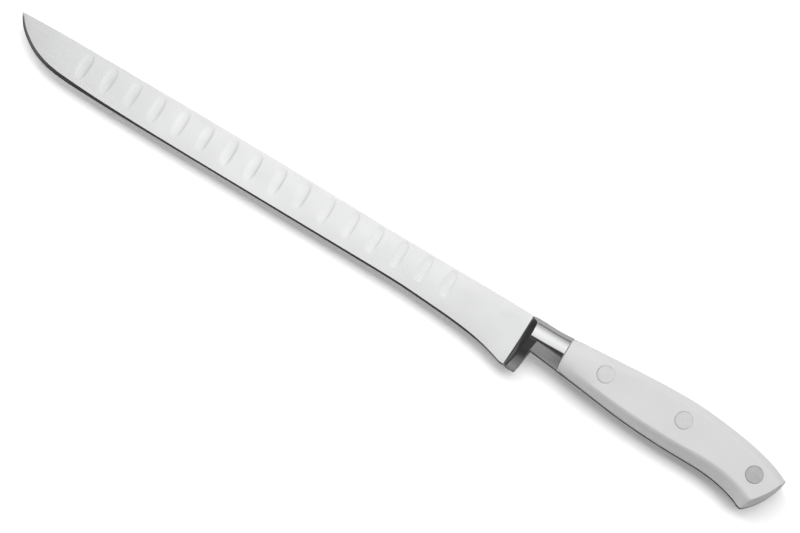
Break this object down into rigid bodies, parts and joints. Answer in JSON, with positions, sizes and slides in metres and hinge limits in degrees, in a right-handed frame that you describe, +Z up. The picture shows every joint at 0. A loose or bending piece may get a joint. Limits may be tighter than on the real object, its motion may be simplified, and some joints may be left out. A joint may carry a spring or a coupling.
{
  "type": "ham knife",
  "caption": "Forged ham slicing knife: long narrow scalloped blade, full bolster with finger guard, full tang, and white plastic scales held by flush steel rivets.",
  "frame": {"origin": "middle of the outer box in plan, on the surface the knife lies on, which is the plane of the right-hand scale's flat", "axes": "+X along the knife from the blade's point to the butt of the handle, +Y from the cutting edge to the spine, +Z up out of the left-hand side, which faces up"},
  "size_m": [0.373, 0.0278, 0.0166],
  "materials": {
    "blade_steel": "polished stainless steel with a fine lengthwise grain",
    "white_plastic": "satin white moulded plastic",
    "rivet_steel": "fine ground flush"
  },
  "bodies": {
    "root": {"forged_blade": "blade_steel", "left_scale": "white_plastic", "right_scale": "white_plastic", "front_rivet_sleeve": "rivet_steel", "front_rivet_post": "rivet_steel", "middle_rivet_sleeve": "rivet_steel", "middle_rivet_post": "rivet_steel", "rear_rivet_sleeve": "rivet_steel", "rear_rivet_post": "rivet_steel"}
  },
  "joints": []
}
